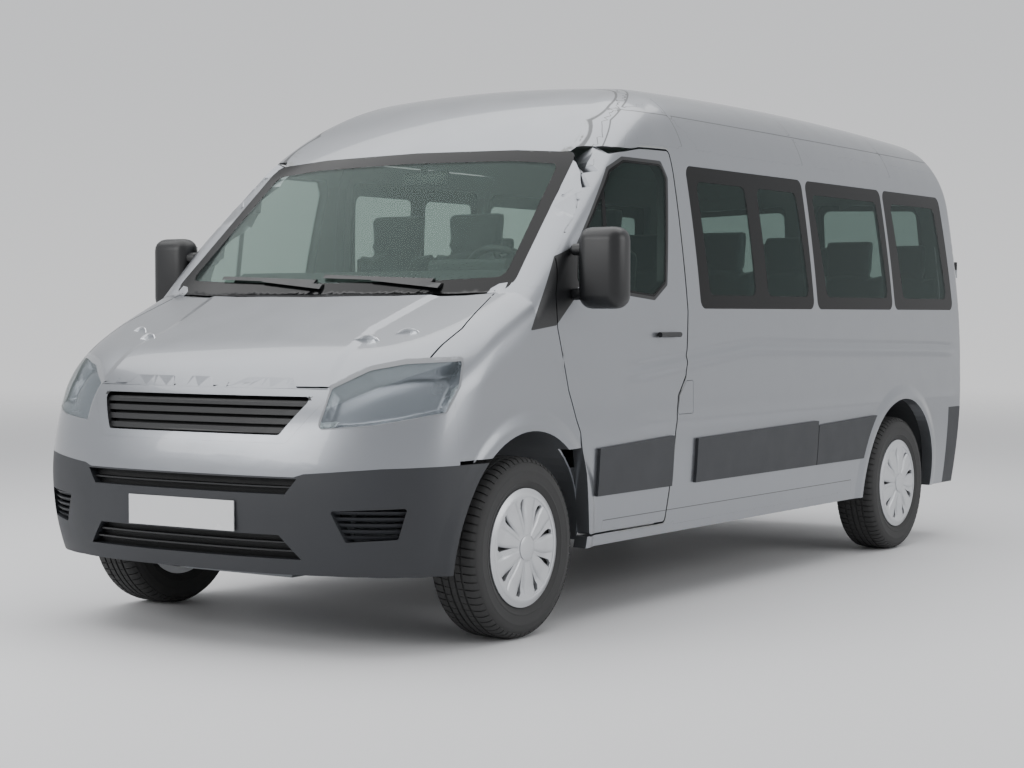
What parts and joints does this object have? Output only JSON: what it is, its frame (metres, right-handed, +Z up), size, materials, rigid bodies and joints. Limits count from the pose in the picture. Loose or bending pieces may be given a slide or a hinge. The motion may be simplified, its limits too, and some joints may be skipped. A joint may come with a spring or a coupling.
{
  "type": "minibus",
  "caption": "High-roof passenger minibus with sliding side door, twin rear doors, window band along the cabin, steering front wheels and rows of seats.",
  "frame": {"origin": "on the ground, midway between front and rear ends and between the two sides", "axes": "-Y forward, +X to the vehicle's left, +Z up"},
  "size_m": [2.4292, 5.3361, 2.2411],
  "materials": {
    "silver_paint": "metallic gloss",
    "charcoal_plastic": "grained, satin",
    "black_plastic": "satin",
    "window_glass": "tinted",
    "lamp_lens": "clear",
    "tail_lens": "gloss",
    "tyre_rubber": "matt",
    "wheel_silver": "satin",
    "seat_fabric": "woven",
    "dark_steel": "satin",
    "floor_covering": "grained",
    "blank_plate": "gloss"
  },
  "bodies": {
    "body": {"high_roof": "silver_paint", "body_sides": "silver_paint", "sliding_door": "silver_paint", "cab_frame": "silver_paint", "front_fenders": "silver_paint", "front_panel": "silver_paint", "front_bumper": "charcoal_plastic", "grille": "charcoal_plastic", "headlamps": "lamp_lens", "windscreen": "window_glass", "side_glass": "window_glass", "rubbing_strips": "charcoal_plastic", "rear_bumper": "charcoal_plastic", "tail_lamps": "tail_lens", "wipers": "black_plastic", "number_plate": "blank_plate", "cabin_floor": "floor_covering", "chassis_frame": "dark_steel", "engine": "dark_steel", "dashboard": "black_plastic", "seat_frames": "dark_steel", "front_seats": "seat_fabric", "passenger_seats": "seat_fabric", "rear_axle": "dark_steel", "fuel_tank": "black_plastic", "exhaust": "dark_steel"},
    "door_left": {"front_door_left": "silver_paint", "door_glass_left": "window_glass", "door_mirror_left": "black_plastic"},
    "door_right": {"front_door_right": "silver_paint", "door_glass_right": "window_glass", "door_mirror_right": "black_plastic"},
    "back_door_left": {"rear_door_left": "silver_paint", "rear_glass_left": "window_glass"},
    "back_door_right": {"rear_door_right": "silver_paint", "rear_glass_right": "window_glass"},
    "bonnet_lid": {"bonnet": "silver_paint"},
    "flap": {"fuel_flap": "silver_paint"},
    "steering": {"steering_wheel": "black_plastic"},
    "steer_left": {"knuckle_left": "dark_steel"},
    "steer_right": {"knuckle_right": "dark_steel"},
    "wheel_front_left": {"front_wheel_left": "wheel_silver", "front_tyre_left": "tyre_rubber"},
    "wheel_front_right": {"front_wheel_right": "wheel_silver", "front_tyre_right": "tyre_rubber"},
    "wheel_rear_left": {"rear_wheel_left": "wheel_silver", "rear_tyre_left": "tyre_rubber"},
    "wheel_rear_right": {"rear_wheel_right": "wheel_silver", "rear_tyre_right": "tyre_rubber"}
  },
  "joints": [
    {"name": "left_steer", "type": "hinge", "parent": "body", "child": "steer_left", "pos_m": [0.8, -1.835, 0.343], "axis": [0, 0, 1], "range_deg": [-35, 35]},
    {"name": "right_steer", "type": "hinge", "parent": "body", "child": "steer_right", "pos_m": [-0.8, -1.835, 0.343], "axis": [0, 0, 1], "range_deg": [-35, 35]},
    {"name": "steering_wheel_turn", "type": "hinge", "parent": "body", "child": "steering", "pos_m": [0.39, -1.075, 1.34], "axis": [0, 0.788, 0.6157], "range_deg": [-525, 525]},
    {"name": "front_left_spin", "type": "hinge", "parent": "steer_left", "child": "wheel_front_left", "pos_m": [0.866, -1.835, 0.343], "axis": [1, 0, 0], "continuous": true},
    {"name": "front_right_spin", "type": "hinge", "parent": "steer_right", "child": "wheel_front_right", "pos_m": [-0.866, -1.835, 0.343], "axis": [1, 0, 0], "continuous": true},
    {"name": "rear_left_spin", "type": "hinge", "parent": "body", "child": "wheel_rear_left", "pos_m": [0.866, 1.689, 0.343], "axis": [1, 0, 0], "continuous": true},
    {"name": "rear_right_spin", "type": "hinge", "parent": "body", "child": "wheel_rear_right", "pos_m": [-0.866, 1.689, 0.343], "axis": [1, 0, 0], "continuous": true},
    {"name": "left_door_hinge", "type": "hinge", "parent": "body", "child": "door_left", "pos_m": [0.9835, -1.6, 0.95], "axis": [0, 0, -1], "range_deg": [0, 70]},
    {"name": "right_door_hinge", "type": "hinge", "parent": "body", "child": "door_right", "pos_m": [-0.9835, -1.6, 0.95], "axis": [0, 0, 1], "range_deg": [0, 70]},
    {"name": "left_back_door_hinge", "type": "hinge", "parent": "body", "child": "back_door_left", "pos_m": [0.893, 2.657, 1.2], "axis": [0, 0, -1], "range_deg": [0, 170]},
    {"name": "right_back_door_hinge", "type": "hinge", "parent": "body", "child": "back_door_right", "pos_m": [-0.893, 2.657, 1.2], "axis": [0, 0, 1], "range_deg": [0, 170]},
    {"name": "fuel_flap_hinge", "type": "hinge", "parent": "body", "child": "flap", "pos_m": [0.986, -0.583, 0.86], "axis": [0, 0, 1], "range_deg": [0, 100]},
    {"name": "bonnet_hinge", "type": "hinge", "parent": "body", "child": "bonnet_lid", "pos_m": [0, -1.835, 1.286], "axis": [-1, 0, 0], "range_deg": [0, 55]}
  ],
  "couplings": [
    {"joint": "right_steer", "follows": "left_steer", "ratio": 1},
    {"joint": "steering_wheel_turn", "follows": "left_steer", "ratio": 15}
  ]
}
